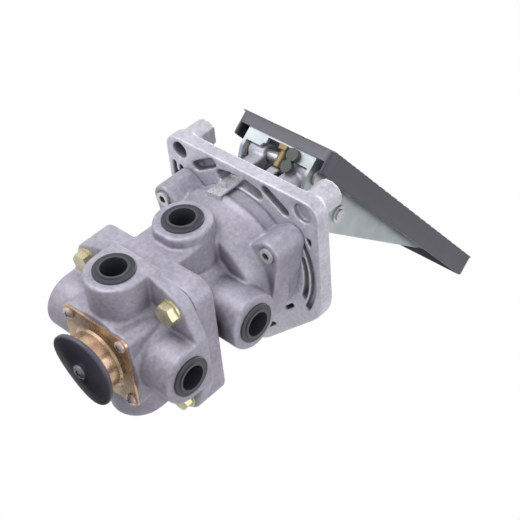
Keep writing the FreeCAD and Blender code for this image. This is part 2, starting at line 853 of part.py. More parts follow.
def port_insert(angle, z):
    """Ring insert in one port: flange, raised lip and sleeve."""
    face = port_face
    front = face + insert_flange_thickness
    lip_end = front + insert_lip_height
    sleeve = port_thread_radius - running_gap
    foot = face - insert_length
    ring = turned([(insert_bore_radius, foot), (sleeve, foot), (sleeve, face), (insert_flange_radius,
                                                                                face),
                   (insert_flange_radius, front - insert_edge), (insert_flange_radius - insert_edge,
                                                                 front),
                   (insert_lip_radius + insert_edge, front), (insert_lip_radius, lip_end),
                   (insert_bore_radius, lip_end)])
    ring.rotate(V(0, 0, 0), V(0, 1, 0), 90)
    ring.translate(V(0, 0, z))
    ring.rotate(V(0, 0, 0), V(0, 0, 1), angle)
    return ring


def exhaust_cap():
    """Pressed cap: square flange and a drawn stub with vents in its end."""
    foot = cap_seat - cap_thickness
    bend = cap_stub_radius + cap_stub_bend
    inside = cap_stub_radius - cap_thickness
    flange = prism(square(cap_half_width, cap_corner), foot, cap_seat)
    stub = turned([(0, cap_seat), (bend, cap_seat), (bend, foot), (cap_stub_radius + cap_stub_bend * 0.3,
                  foot - cap_stub_bend * 0.3), (cap_stub_radius, foot - cap_stub_bend),
                   (cap_stub_radius, cap_end + can_edge), (cap_stub_radius - can_edge, cap_end), (0,
                                                                                                  cap_end)])
    solid = joined([flange, stub]).cut(rod(inside, cap_end + cap_thickness, cap_seat + cut_margin))
    end_in = cap_end + cap_thickness + cut_margin
    for vent in range(cap_vent_count):
        angle = 2 * math.pi * (vent + 0.5) / cap_vent_count
        solid = solid.cut(rod(cap_vent_radius, cap_end - cut_margin, end_in,
                              cap_vent_circle * math.cos(angle),
                              cap_vent_circle * math.sin(angle)))
    solid = solid.cut(rod(flap_screw_radius + running_gap, cap_end - cut_margin, end_in))
    for x, y in corner_places(cap_screw_offset):
        solid = solid.cut(rod(cap_screw_radius + loose_gap, foot - cut_margin, cap_seat + cut_margin, x,
                              y))
    return solid


def pan_head(radius, height, z, x=0.0, y=0.0):
    """Domed screw head with a cross slot, its flat side at height z."""
    dome = turned([(0, z - height), (radius * 0.45, z - height * 0.95), (radius * 0.8, z - height * 0.75),
                   (radius, z - height * 0.4), (radius, z), (0, z)])
    dome.translate(V(x, y, 0))
    arm = radius * 0.55
    half = radius * 0.11
    low = z - height - cut_margin
    top = z - height * 0.4
    cross = block(x - arm, x + arm, y - half, y + half, low, top)
    return dome.cut(cross.fuse(block(x - half, x + half, y - arm, y + arm, low, top)))


def exhaust_cap_screws():
    """Four pan head screws through the cap's flange."""
    seat = cap_seat - cap_thickness
    screws = []
    for x, y in corner_places(cap_screw_offset):
        head = pan_head(cap_screw_head_radius, cap_screw_head_height, seat, x, y)
        screws.append(joined([head, rod(cap_screw_radius, seat, cap_seat + cap_screw_depth, x, y)]))
    return Part.makeCompound(screws)


def exhaust_flap():
    """Rubber disc that covers the exhaust vents."""
    hole = flap_screw_radius + loose_gap
    return turned([(hole, flap_face), (flap_radius - flap_edge, flap_face), (flap_radius,
                                                                             flap_face + flap_edge),
                   (flap_radius, flap_seat), (hole, flap_seat)])


def flap_screw():
    """Screw that holds the rubber disc by its middle."""
    head = pan_head(flap_screw_head_radius, flap_screw_head_height, flap_face)
    tip = cap_end + cap_thickness + flap_nut_height + flap_screw_spare
    return joined([head, rod(flap_screw_radius, flap_face, tip)])


def flap_nut():
    """Nut on the inside of the cap."""
    inside = cap_end + cap_thickness
    nut = hexagon(flap_nut_flats, inside, inside + flap_nut_height)
    return nut.cut(rod(flap_screw_radius + running_gap, inside - cut_margin,
                       inside + flap_nut_height + cut_margin))


def clip_groove(x, z, y0, radius):
    """Space of a clip's groove round a pin."""
    return cross_tube(radius + cut_margin, radius - clip_groove_depth, y0,
                      y0 + clip_thickness + loose_gap, x, z)


def pin_clip(x, z, y0, radius):
    """Open ring clip in a pin's groove."""
    ring = cross_tube(clip_radius, radius - clip_groove_depth + running_gap, y0, y0 + clip_thickness, x,
                      z)
    return ring.cut(block(x - clip_mouth / 2, x + clip_mouth / 2, y0 - cut_margin,
                          y0 + clip_thickness + cut_margin,
                          z, z + clip_radius + cut_margin))


def hinge_pin():
    """Pin the treadle turns on, with a head and a clip groove."""
    reach = bracket_half_width + air_gap
    tail = reach + clip_thickness + loose_gap + pin_tail
    shank = cross_rod(hinge_pin_radius, -reach, tail, hinge_x, hinge_z)
    head = cross_rod(pin_head_radius, -reach - pin_head_thickness, -reach, hinge_x, hinge_z)
    return joined([shank, head]).cut(clip_groove(hinge_x, hinge_z, reach, hinge_pin_radius))


def hinge_pin_clip():
    """Clip on the free end of the hinge pin."""
    return pin_clip(hinge_x, hinge_z, bracket_half_width + air_gap + running_gap, hinge_pin_radius)


def plunger_bush():
    """Collared bush that guides the plunger."""
    inner = plunger_radius + running_gap
    sleeve = tube(bush_outer_radius, inner, plate_under, tower_floor)
    return joined([sleeve, tube(bush_flange_radius, inner, tower_floor,
                                tower_floor + bush_flange_thickness)])


def plunger():
    """Plunger with its broad head under the roller."""
    edge = plunger_chamfer
    return turned([(0, plunger_foot), (plunger_radius - edge, plunger_foot), (plunger_radius,
                                                                              plunger_foot + edge),
                   (plunger_radius, head_under), (plunger_head_radius - edge, head_under),
                   (plunger_head_radius, head_under + edge), (plunger_head_radius, head_top - edge),
                   (plunger_head_radius - edge, head_top), (0, head_top)])


def boot_sections(inset):
    """Outlines of the boot from its lip up to its neck: a crest and a valley for each fold."""
    foot = tower_floor
    top = head_under - loose_gap
    lip = foot + boot_lip_height
    pitch = (top - lip) / boot_fold_count
    sections = [(boot_reach, boot_radius, foot), (boot_reach, boot_radius, lip)]
    for fold in range(boot_fold_count):
        share = (fold + 0.5) / boot_fold_count
        reach = boot_reach + (boot_neck_reach - boot_reach) * share
        radius = boot_radius + (boot_neck_radius - boot_radius) * share
        sections.append((reach, radius, lip + pitch * (fold + 0.35)))
        valley = radius - boot_fold_depth * (1 - share)
        sections.append((reach, valley, lip + pitch * (fold + 0.75)))
    sections.append((boot_neck_reach, boot_neck_radius, top))
    return [capsule_wire(reach, radius - inset, z) for reach, radius, z in sections]


def plunger_boot():
    """Oblong rubber bellows between the tower's floor and the plunger's head."""
    outer = Part.makeLoft(boot_sections(0), True, True)
    return outer.cut(Part.makeLoft(boot_sections(boot_wall), True, True))


def spring_cup():
    """Cup between the plunger and the rubber spring."""
    edge = plunger_chamfer
    return turned([(0, cup_foot), (cup_radius - edge, cup_foot), (cup_radius, cup_foot + edge),
                   (cup_radius, plunger_foot), (0, plunger_foot)])


def graduating_spring():
    """Rubber spring between the cup and the piston."""
    waist = spring_rubber_radius - spring_rubber_waist
    middle = (cup_foot + rubber_foot) / 2
    return turned([(spring_rubber_hole, rubber_foot), (spring_rubber_radius, rubber_foot), (waist,
                                                                                            middle),
                   (spring_rubber_radius, cup_foot), (spring_rubber_hole, cup_foot)])


def piston_edge(edge, under, top, seal_low):
    """Rim of a piston's profile, from its underside to its crown, with the seal groove."""
    return [(edge, under), (edge, seal_low), (edge - seal_depth, seal_low),
            (edge - seal_depth, seal_low + seal_width), (edge, seal_low + seal_width), (edge, top)]


def primary_piston():
    """Piston of the first circuit, with its seal groove and hollow stem."""
    pocket = spring_rubber_radius + piston_pocket_gap
    stem_foot = seat_under + valve_lift_gap
    rim = piston_edge(piston_radius - running_gap, crown_under, crown_top, crown_under + seal_rise)
    return turned([(stem_bore, stem_foot), (stem_radius, stem_foot), (stem_radius, crown_under)] + rim
                  + [(pocket, crown_top), (pocket, rubber_foot), (stem_bore, rubber_foot)])


def relay_piston():
    """Piston of the second circuit, with its seal groove and hollow stem."""
    stem_foot = relay_seat_under + valve_lift_gap
    rim = piston_edge(relay_radius - running_gap, relay_under, relay_top, relay_under + relay_seal_rise)
    return turned([(stem_bore, stem_foot), (stem_radius, stem_foot), (stem_radius, relay_under)] + rim
                  + [(stem_bore, relay_top)])


def piston_seal(bore, low):
    """Seal ring in a piston's groove."""
    outer = bore - running_gap
    return tube(outer, outer - seal_depth + loose_gap, low + running_gap, low + seal_width - running_gap)


def valve_element(seat_z, guide_foot):
    """Hollow valve with a rubber-faced disc and a guided stem."""
    seat = seat_z - running_gap
    disc_under = seat - valve_disc_thickness
    edge = plunger_chamfer
    return turned([(valve_bore, guide_foot), (valve_stem_radius, guide_foot), (valve_stem_radius,
                                                                               disc_under),
                   (valve_disc_radius, disc_under), (valve_disc_radius, seat - edge),
                   (valve_disc_radius - edge, seat), (valve_bore, seat)])


def valve_guide(foot, top):
    """Guide insert for a valve stem."""
    ring = tube(guide_radius - running_gap, valve_stem_radius + running_gap, foot, top)
    for vent in range(guide_vent_count):
        angle = 2 * math.pi * vent / guide_vent_count
        ring = ring.cut(rod(guide_vent_radius, foot - cut_margin, top + cut_margin,
                            guide_vent_circle * math.cos(angle), guide_vent_circle * math.sin(angle)))
    return ring


def guide_ring(guide_foot):
    """Split ring in its groove under a valve guide."""
    outer = guide_radius + guide_ring_depth - running_gap
    foot = guide_foot - guide_ring_thickness
    ring = tube(outer, guide_radius - guide_ring_width, foot, guide_foot)
    return ring.cut(block(0, outer + cut_margin, -guide_ring_mouth / 2, guide_ring_mouth / 2,
                          foot - cut_margin,
                          guide_foot + cut_margin))


def tread_blocks():
    """Raised blocks of the tread: fine rows over the heel, coarse rows beyond."""
    blocks = []
    low = -tread_relief - running_gap
    width = (2 * (pad_half_width - tread_margin) - (tread_columns - 1) * tread_column_gap) / tread_columns
    spans = [(0.0, fine_tread_length, fine_tread_rows), (fine_tread_length, pad_length,
                                                         coarse_tread_rows)]
    for first, last, rows in spans:
        pitch = (last - first) / rows
        for row in range(rows):
            start = first + pitch * (row + (1 - tread_block_share) / 2)
            for column in range(tread_columns):
                side = -pad_half_width + tread_margin + column * (width + tread_column_gap)
                blocks.append(block(start, start + pitch * tread_block_share, side, side + width, low, 0))
    return blocks


def treadle_pad():
    """Rubber pad: blocked tread and skirts all round, shallow across the heel."""
    half = pad_half_width
    wall = pad_skirt_wall
    outline = [(0, -half, pad_corner), (pad_length, -half, pad_corner), (pad_length, half, pad_corner),
               (0, half, pad_corner)]
    solid = prism(outline, -pad_skirt_depth, -tread_relief)
    solid = solid.makeFillet(pad_edge_round, [e for e in solid.Edges
                                              if e.BoundBox.ZMax < -pad_skirt_depth + 0.01])
    inner = [(wall, -half + wall, pad_corner - wall), (pad_length - wall, -half + wall,
                                                       pad_corner - wall),
             (pad_length - wall, half - wall, pad_corner - wall), (wall, half - wall, pad_corner - wall)]
    solid = solid.cut(prism(inner, -pad_skirt_depth - cut_margin, -pad_thickness))
    lip_half = half - wall - heel_lip_end
    solid = solid.cut(block(-cut_margin, wall + cut_margin, -lip_half, lip_half,
                            -pad_skirt_depth - cut_margin,
                            -heel_lip_depth))
    clear = bracket_half_width + air_gap
    solid = solid.cut(block(bracket_start - air_gap, wall + cut_margin, -clear, clear,
                            -pad_skirt_depth - cut_margin, -channel_top + loose_gap))
    solid = solid.cut(rod(stop_screw_radius + loose_gap, -pad_skirt_depth - cut_margin, -pad_thickness,
                          screw_along, screw_side))
    return on_treadle(joined([solid] + tread_blocks()))


def screw_hole():
    """Way of the stop screw through the treadle."""
    return rod(stop_screw_radius + running_gap, -channel_face - cut_margin, 0, screw_along, screw_side)


def treadle_plate():
    """Dark steel plate under the rubber."""
    gap = pad_skirt_wall + loose_gap
    half = pad_half_width - gap
    corner = pad_corner - gap
    outline = [(gap, -half, corner), (pad_length - gap, -half, corner), (pad_length - gap, half, corner),
               (gap, half, corner)]
    return on_treadle(prism(outline, -channel_top, -pad_thickness).cut(screw_hole()))


def gusset(inner_side):
    """Side of the channel: an ear for the hinge that tapers to the toe."""
    points = [(bracket_start, -channel_top, 0.5), (bracket_start, -gusset_heel_depth, gusset_heel_radius),
              (gusset_corner_along, -gusset_corner_depth, gusset_corner_radius),
              (gusset_end, -gusset_tip_depth, gusset_tip_radius), (gusset_end + gusset_tip_radius,
                                                                   -channel_top, 0.5)]
    side = Part.Face(rounded_wire(points)).extrude(V(0, 0, gusset_thickness))
    side.rotate(V(0, 0, 0), V(1, 0, 0), 90)
    side.translate(V(0, inner_side, 0))
    slot = block(gusset_slot_start, gusset_slot_end, inner_side - gusset_thickness - cut_margin,
                 inner_side + cut_margin, -gusset_slot_depth - gusset_slot_radius,
                 -gusset_slot_depth + gusset_slot_radius)
    return side.cut(slot)


def treadle_channel():
    """Folded channel under the treadle: web, two gussets and a heel flange."""
    half = bracket_half_width
    end = gusset_end + gusset_tip_radius
    web = block(bracket_start, end, -half, half, -channel_face, -channel_top)
    sides = [gusset(half), gusset(-half + gusset_thickness)]
    heel = block(bracket_start, bracket_start + gusset_thickness, -heel_flange_half_width,
                 heel_flange_half_width,
                 -heel_flange_depth, -channel_top)
    heel = heel.cut(block(0, bracket_start + gusset_thickness + cut_margin, -heel_cutout_half_width,
                          heel_cutout_half_width, -heel_flange_depth - cut_margin, -channel_face))
    for side in (-heel_cutout_half_width, heel_cutout_half_width):
        heel = heel.cut(along_rod(heel_scallop_radius, 0, bracket_start + gusset_thickness + cut_margin,
                                  side,
                                  -heel_flange_depth))
    solid = joined([web, heel] + sides)
    folds = [e for e in solid.Edges
             if e.BoundBox.ZMin > -channel_top - 0.01 and e.BoundBox.XLength > gusset_end / 2]
    solid = solid.makeFillet(channel_bend_radius, folds)
    pin_way = half + cut_margin
    solid = solid.cut(cross_rod(bush_radius + running_gap, -pin_way, pin_way, hinge_along, -hinge_depth))
    solid = solid.cut(cross_rod(roller_pin_radius + running_gap, -pin_way, pin_way, roller_along,
                                -roller_depth))
    solid = solid.cut(along_rod(buffer_neck_radius + running_gap, 0,
                                bracket_start + gusset_thickness + cut_margin,
                                buffer_side, -buffer_upper_depth))
    return on_treadle(solid.cut(screw_hole()))


def treadle_bushes():
    """Collared bushes between the channel's ears and the hinge pin."""
    inner = hinge_pin_radius + running_gap
    near = tower_half_width + air_gap
    ear = bracket_half_width - gusset_thickness
    bushes = []
    for low, high, out_low, out_high in ((near, ear, near, bracket_half_width),
                                         (-ear, -near, -bracket_half_width, -near)):
        collar = cross_tube(bush_collar_outer, inner, low, high, hinge_x, hinge_z)
        bushes.append(joined([collar, cross_tube(bush_radius, inner, out_low, out_high, hinge_x,
                                                 hinge_z)]))
    return Part.makeCompound(bushes)


def stop_screw():
    """Screw that sets where the treadle rests."""
    tip = -stop_screw_depth
    shank = rod(stop_screw_radius, tip + screw_tip_chamfer, -pad_thickness - running_gap, screw_along,
                screw_side)
    nose = Part.makeCone(stop_screw_radius - screw_tip_chamfer, stop_screw_radius, screw_tip_chamfer,
                         V(screw_along, screw_side, tip))
    return on_treadle(joined([shank, nose]))


def stop_locknut():
    """Thin nut that locks the stop screw, with a flat towards the hinge pin."""
    low = -channel_face - nut_thickness
    nut = hexagon(nut_flats, low, -channel_face, screw_along, screw_side)
    return on_treadle(nut.cut(rod(stop_screw_radius + running_gap, low - cut_margin,
                                  -channel_face + cut_margin,
                                  screw_along, screw_side)))


def heel_buffer():
    """Rubber buffer with two lobes, buttoned through the heel flange."""
    outer = bracket_start - buffer_thickness
    inside = bracket_start + gusset_thickness
    upper = along_rod(buffer_upper_radius, outer, bracket_start, buffer_side, -buffer_upper_depth)
    lower = along_rod(buffer_lower_radius, outer, bracket_start, buffer_side, -buffer_lower_depth)
    neck = along_rod(buffer_neck_radius, bracket_start, inside, buffer_side, -buffer_upper_depth)
    head = along_rod(buffer_head_radius, inside, inside + buffer_head_thickness, buffer_side,
                     -buffer_upper_depth)
    return on_treadle(joined([upper, lower, neck, head]))


def roller_pin():
    """Pin that carries the roller between the gussets."""
    reach = bracket_half_width + running_gap
    end = reach + clip_thickness + loose_gap + pin_tail
    pin = cross_rod(roller_pin_radius, -end, end, 0, roller_height)
    for y0 in (-reach - clip_thickness - loose_gap, reach):
        pin = pin.cut(clip_groove(0, roller_height, y0, roller_pin_radius))
    return pin


def roller_pin_clips():
    """Clips at both ends of the roller pin."""
    reach = bracket_half_width + loose_gap
    return Part.makeCompound([pin_clip(0, roller_height, -reach - clip_thickness, roller_pin_radius),
                              pin_clip(0, roller_height, reach, roller_pin_radius)])


def roller_spacers():
    """Tubes that keep the roller in the middle of its pin."""
    inner = roller_half_width + air_gap
    outer = bracket_half_width - gusset_thickness
    bore = roller_pin_radius + running_gap
    return Part.makeCompound([cross_tube(spacer_radius, bore, -outer, -inner, 0, roller_height),
                              cross_tube(spacer_radius, bore, inner, outer, 0, roller_height)])


def roller():
    """Roller that presses on the plunger."""
    wheel = cross_tube(roller_radius, roller_pin_radius + running_gap, -roller_half_width,
                       roller_half_width,
                       0, roller_height)
    rims = [e for e in wheel.Edges if abs(e.BoundBox.XLength - 2 * roller_radius) < running_gap
            and e.BoundBox.YLength < running_gap]
    return wheel.makeChamfer(roller_chamfer, rims)


def save(name, shape):
    """Writes one sub-part to its own file."""
    shape.exportStep("parts/" + name + ".step")


def save_housing():
    """Castings, fasteners and inserts that stay still."""
    save("mounting_plate", mounting_plate())
    save("upper_body", upper_body())
    save("lower_body", lower_body())
    save("body_seal", body_seal())
    save("body_bolts", body_bolts())
    save("body_bolt_washers", body_washers())
    save("can_screws", can_screws())
    save("spring_clip", spring_clip())
    save("exhaust_cap", exhaust_cap())
    save("exhaust_cap_screws", exhaust_cap_screws())
    save("exhaust_flap", exhaust_flap())
    save("flap_screw", flap_screw())
    save("flap_nut", flap_nut())
    for name, angle, z in (("upper_back", 180, upper_port_z), ("upper_side", -90, upper_port_z),
                           ("lower_back", 180, lower_port_z), ("lower_side", -90, lower_port_z),
                           ("lower_front", 0, lower_port_z), ("lower_far", 90, lower_port_z)):
        save("port_insert_" + name, port_insert(angle, z))
    save("hinge_pin", hinge_pin())
    save("hinge_pin_clip", hinge_pin_clip())
    save("plunger_bush", plunger_bush())
    save("plunger_boot", plunger_boot())


def save_working_parts():
    """Plunger, pistons, valves and their springs."""
    save("plunger", plunger())
    save("spring_cup", spring_cup())
    save("graduating_spring", graduating_spring())
    save("primary_piston", primary_piston())
    save("primary_piston_seal", piston_seal(piston_radius, crown_under + seal_rise))
    save("primary_return_spring", coil(piston_spring_radius, wire_radius, piston_floor,
                                       crown_under - loose_gap,
                                       piston_spring_turns))
    save("primary_valve", valve_element(seat_under, upper_guide_foot))
    save("primary_valve_guide", valve_guide(upper_guide_foot, upper_guide_top))
    save("primary_guide_ring", guide_ring(upper_guide_foot))
    save("primary_valve_spring", coil(valve_spring_radius, wire_radius, upper_guide_top,
                                      seat_under - valve_disc_thickness - air_gap, valve_spring_turns))
    save("relay_piston", relay_piston())
    save("relay_piston_seal", piston_seal(relay_radius, relay_under + relay_seal_rise))
    save("relay_return_spring", coil(relay_spring_radius, wire_radius, relay_floor,
                                     relay_under - loose_gap,
                                     relay_spring_turns))
    save("secondary_valve", valve_element(relay_seat_under, lower_guide_foot))
    save("secondary_valve_guide", valve_guide(lower_guide_foot, lower_guide_top))
    save("secondary_guide_ring", guide_ring(lower_guide_foot))
    save("secondary_valve_spring", coil(valve_spring_radius, wire_radius, lower_guide_top,
                                        relay_seat_under - valve_disc_thickness - air_gap,
                                        valve_spring_turns))


def save_treadle():
    """Treadle and everything that swings with it."""
    save("treadle_pad", treadle_pad())
    save("treadle_plate", treadle_plate())
    save("treadle_channel", treadle_channel())
    save("treadle_bushes", treadle_bushes())
    save("stop_screw", stop_screw())
    save("stop_locknut", stop_locknut())
    save("heel_buffer", heel_buffer())
    save("roller_pin", roller_pin())
    save("roller_pin_clips", roller_pin_clips())
    save("roller_spacers", roller_spacers())
    save("roller", roller())


os.makedirs("parts", exist_ok=True)
save_housing()
save_working_parts()
save_treadle()
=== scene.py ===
import json
import math

import bmesh
import bpy
from mathutils import Matrix, Vector


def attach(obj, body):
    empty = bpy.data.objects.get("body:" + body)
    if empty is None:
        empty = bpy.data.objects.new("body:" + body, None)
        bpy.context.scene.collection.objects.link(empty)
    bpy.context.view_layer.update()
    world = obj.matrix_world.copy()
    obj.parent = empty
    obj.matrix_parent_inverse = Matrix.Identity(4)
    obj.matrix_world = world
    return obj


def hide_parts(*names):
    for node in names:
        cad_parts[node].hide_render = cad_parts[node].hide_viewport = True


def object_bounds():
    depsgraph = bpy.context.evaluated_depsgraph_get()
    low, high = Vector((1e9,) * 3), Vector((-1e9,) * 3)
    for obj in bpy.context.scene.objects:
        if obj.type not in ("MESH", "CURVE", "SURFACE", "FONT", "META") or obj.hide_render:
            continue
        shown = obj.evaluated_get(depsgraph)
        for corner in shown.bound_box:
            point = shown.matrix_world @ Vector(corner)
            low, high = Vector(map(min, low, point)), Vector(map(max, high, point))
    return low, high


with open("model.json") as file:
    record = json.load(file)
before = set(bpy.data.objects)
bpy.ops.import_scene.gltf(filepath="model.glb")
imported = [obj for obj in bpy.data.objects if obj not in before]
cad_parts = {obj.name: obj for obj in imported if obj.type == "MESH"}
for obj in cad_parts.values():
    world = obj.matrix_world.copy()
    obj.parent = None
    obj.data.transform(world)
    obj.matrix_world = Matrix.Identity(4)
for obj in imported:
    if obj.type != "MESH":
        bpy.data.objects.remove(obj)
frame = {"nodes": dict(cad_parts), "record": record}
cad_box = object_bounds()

NODES = frame["nodes"]
MM = 0.001

# Camera, in metres in the row frame
CAMERA_PLACE = Vector((-0.5180, -0.4359, -0.4298))
CAMERA_RIGHT = Vector((0.075, -0.735, 0.674)).normalized()
CAMERA_AHEAD = Vector((0.668, 0.539, 0.513)).normalized()
CAMERA_LENS = 83.73
CAMERA_SENSOR = 36.0
CAMERA_NEAR = 0.01
CAMERA_FAR = 50.0

# Stage
FLOOR_GAP = 0.3 * MM
FLOOR_SIZE = 6.0
FLOOR_COLOUR = (0.86, 0.86, 0.86)
FLOOR_ROUGHNESS = 0.7

# Castings: how finely they are skinned, and how far their edges are softened
CAST_VOXEL = 0.8 * MM
CAST_SOFTENING = 9
CAST_SOFTENING_STEP = 0.5

# Patterns: the range in which most values lie, and how fine and rough they are
PATTERN_LOW = 0.3
PATTERN_HIGH = 0.7
PATTERN_DETAIL = 4.0
PATTERN_ROUGHNESS = 0.55

# Patterns on the surfaces, as repeats per metre, and the depth of scratches
CLOUD_SCALE = 55.0
MOTTLE_SCALE = 420.0
CAST_GRAIN_SCALE = 1600.0
DENT_SCALE = 260.0
DUST_SCALE = 40.0
RUBBER_GRAIN_SCALE = 900.0
FILM_SCALE = 60.0
CAP_FILM_SCALE = 42.0
CHANNEL_FILM_SCALE = 25.0
SCRATCH_SCALE = 500.0
SCRATCH_STRETCH = (1.0, 9.0, 1.0)
SCRATCH_DEPTH = 0.015 * MM

# Colours of a surface: how much the specks show, how light the worn edges are, and how dark the painted
# shade in creases and hollows is, each to the surface's own colour
SPECK_SHARE = 0.4
SPECK_DARK = 0.82
SPECK_LIGHT = 1.08
CAST_EDGE_LIGHT = 1.3
# Painted shade: how dark creases and hollows are painted
CAST_CREASE_SHADE = 0.5
CAST_HOLLOW_SHADE = 0.16
RUBBER_HOLLOW_SHADE = 0.25
PLATED_HOLLOW_SHADE = 0.2

# How far roughness falls and rises over a surface
CAST_SHEEN = (-0.07, 0.09)
RUBBER_SHEEN = (-0.08, 0.10)
PLATED_SHEEN = (-0.06, 0.12)

# Wear and painted shade: the pointiness at which bright worn edges and painted shade in creases start and
# are full, the openness at which the painted shade in hollows is full and gone, and how far round a place
# the openness looks
CAST_EDGES = (0.53, 0.60)
CAST_SHADED_CREASES = (0.47, 0.40)
RUBBER_EDGES = (0.52, 0.58)
SHADE_OPENNESS = (0.15, 0.80)
PLATED_SHADE_OPENNESS = (0.10, 0.75)
SHADE_REACH = 14 * MM
SHADE_SAMPLES = 8

# Upper body's outside as the photograph shows it, in metres in the row frame. The lugs end at z -100 mm
# there, and here 1 mm higher, so that their bolt holes stay closed.
SEAM = -114.0 * MM
LUG_END = -99.0 * MM
FLANGE_END = -94.5 * MM
GAP_REACH = 76.0 * MM
GAP_STEPS = 64
NECK_CLEAR = 38.0 * MM
COLUMN_FACE = 46.6 * MM
COLUMN_ROOT = 26.6 * MM
COLUMN_HALF = 19.0 * MM
COLUMN_END = -75.5 * MM

# Rubber disc over the vents: how far its rim is bent, and how narrow it gets across the bend
FLAP_BEND = 2.4 * MM
FLAP_RADIUS = 25.0 * MM
FLAP_NARROWING = 0.06
FLAP_VOXEL = 0.5 * MM

# Light: strength of the surroundings for everything that isn't seen or mirrored, then the lamps.
# A lamp's place is counted from the target to the view's right, up and back.
WORLD_STRENGTH = 0.18
WORLD_TINT = (0.95, 0.96, 1.0, 1.0)
LIGHT_TARGET = Vector((0.0, 0.0, -0.05))
KEY_PLACE = (-0.45, 0.75, 0.65)
KEY_SIZE = 0.6
KEY_POWER = 8.5
FILL_PLACE = (0.9, -0.1, 0.7)
FILL_SIZE = 0.8
FILL_POWER = 4.2
RIM_PLACE = (0.3, 0.8, -0.7)
RIM_SIZE = 0.6
RIM_POWER = 5.0
SKY_STRENGTH = 2.2
SKY_SPREAD = math.radians(50)

# Looks of nodes that the photograph shows unlike the rest of their slot
OWN_LOOKS = {"exhaust_cap_screws": "cap_screw_zinc", "stop_screw": "stop_bronze",
             "stop_locknut": "stop_bronze", "can_screws": "bright_steel", "spring_clip": "bright_steel",
             "flap_screw": "bright_steel", "exhaust_flap": "flap_rubber", "heel_buffer": "buffer_rubber"}


def new_material(name, base, metallic, roughness):
    """Material with a principled shader: the material, its node tree and the shader."""
    material = bpy.data.materials.new(name)
    material.use_nodes = True
    tree = material.node_tree
    shader = tree.nodes["Principled BSDF"]
    shader.inputs["Base Color"].default_value = (*base, 1.0)
    shader.inputs["Metallic"].default_value = metallic
    shader.inputs["Roughness"].default_value = roughness
    return material, tree, shader


def place_vector(tree, stretch=(1.0, 1.0, 1.0)):
    """Object coordinates, stretched along the axes."""
    coordinates = tree.nodes.new("ShaderNodeTexCoord")
    mapping = tree.nodes.new("ShaderNodeMapping")
    mapping.inputs["Scale"].default_value = stretch
    tree.links.new(coordinates.outputs["Object"], mapping.inputs["Vector"])
    return mapping.outputs["Vector"]


def noise(tree, vector, scale, detail=PATTERN_DETAIL):
    """Noise texture on a vector."""
    node = tree.nodes.new("ShaderNodeTexNoise")
    node.inputs["Scale"].default_value = scale
    node.inputs["Detail"].default_value = detail
    node.inputs["Roughness"].default_value = PATTERN_ROUGHNESS
    tree.links.new(vector, node.inputs["Vector"])
    return node.outputs["Fac"]


def ramp(tree, value, stops):
    """Colour ramp from (place, colour) stops."""
    node = tree.nodes.new("ShaderNodeValToRGB")
    elements = node.color_ramp.elements
    while len(elements) < len(stops):
        elements.new(0.5)
    for element, (place, colour) in zip(elements, stops):
        element.position = place
        element.color = (*colour, 1.0)
    tree.links.new(value, node.inputs["Fac"])
    return node.outputs["Color"]


def spread(tree, value, low, high, from_low=PATTERN_LOW, from_high=PATTERN_HIGH):
    """Value carried from one range to another."""
    node = tree.nodes.new("ShaderNodeMapRange")
    node.inputs["From Min"].default_value = from_low
    node.inputs["From Max"].default_value = from_high
    node.inputs["To Min"].default_value = low
    node.inputs["To Max"].default_value = high
    tree.links.new(value, node.inputs["Value"])
    return node.outputs["Result"]


def rough_spread(tree, shader, pattern, roughness, sheen):
    """Roughness that falls and rises with a pattern."""
    result = spread(tree, pattern, roughness + sheen[0], roughness + sheen[1])
    tree.links.new(result, shader.inputs["Roughness"])


def mixed(tree, share, first, second):
    """Mix of two colours. The share and each colour are a plain value or an output."""
    node = tree.nodes.new("ShaderNodeMix")
    node.data_type = "RGBA"
    for name, colour in (("A", first), ("B", second)):
        socket = [s for s in node.inputs if s.name == name and s.type == "RGBA"][0]
        if isinstance(colour, tuple):
            socket.default_value = (*colour, 1.0)
        else:
            tree.links.new(colour, socket)
    factor = [s for s in node.inputs if s.name == "Factor" and s.type == "VALUE"][0]
    if isinstance(share, float):
        factor.default_value = share
    else:
        tree.links.new(share, factor)
    return [s for s in node.outputs if s.type == "RGBA"][0]


def bump(tree, shader, layers):
    """Stack of bumps from (height output, depth in metres) layers."""
    last = None
    for height, depth in layers:
        node = tree.nodes.new("ShaderNodeBump")
        node.inputs["Strength"].default_value = 1.0
        node.inputs["Distance"].default_value = depth
        tree.links.new(height, node.inputs["Height"])
        if last is not None:
            tree.links.new(last, node.inputs["Normal"])
        last = node.outputs["Normal"]
    tree.links.new(last, shader.inputs["Normal"])


def painted_shade(tree, low, high):
    """Share of painted shade that rises from 0 to 1 where a surface is shut in, as in a bore or behind a
    flange.
    """
    shade = tree.nodes.new("ShaderNodeAmbientOcclusion")
    shade.samples = SHADE_SAMPLES
    shade.only_local = True
    shade.inputs["Distance"].default_value = SHADE_REACH
    return spread(tree, shade.outputs["AO"], 1.0, 0.0, low, high)


def edges(tree, low, high):
    """Share that rises from 0 to 1 as pointiness goes from low to high: on outward edges, or on inward
    creases when low is above high.
    """
    geometry = tree.nodes.new("ShaderNodeNewGeometry")
    return spread(tree, geometry.outputs["Pointiness"], 0.0, 1.0, low, high)


def shaded(colour, share):
    """Colour made darker or lighter, at most full."""
    return tuple(min(1.0, part * share) for part in colour)


def two_tone(dark, light):
    """Stops of a colour that drifts between two tones."""
    return [(PATTERN_LOW, dark), (PATTERN_HIGH, light)]


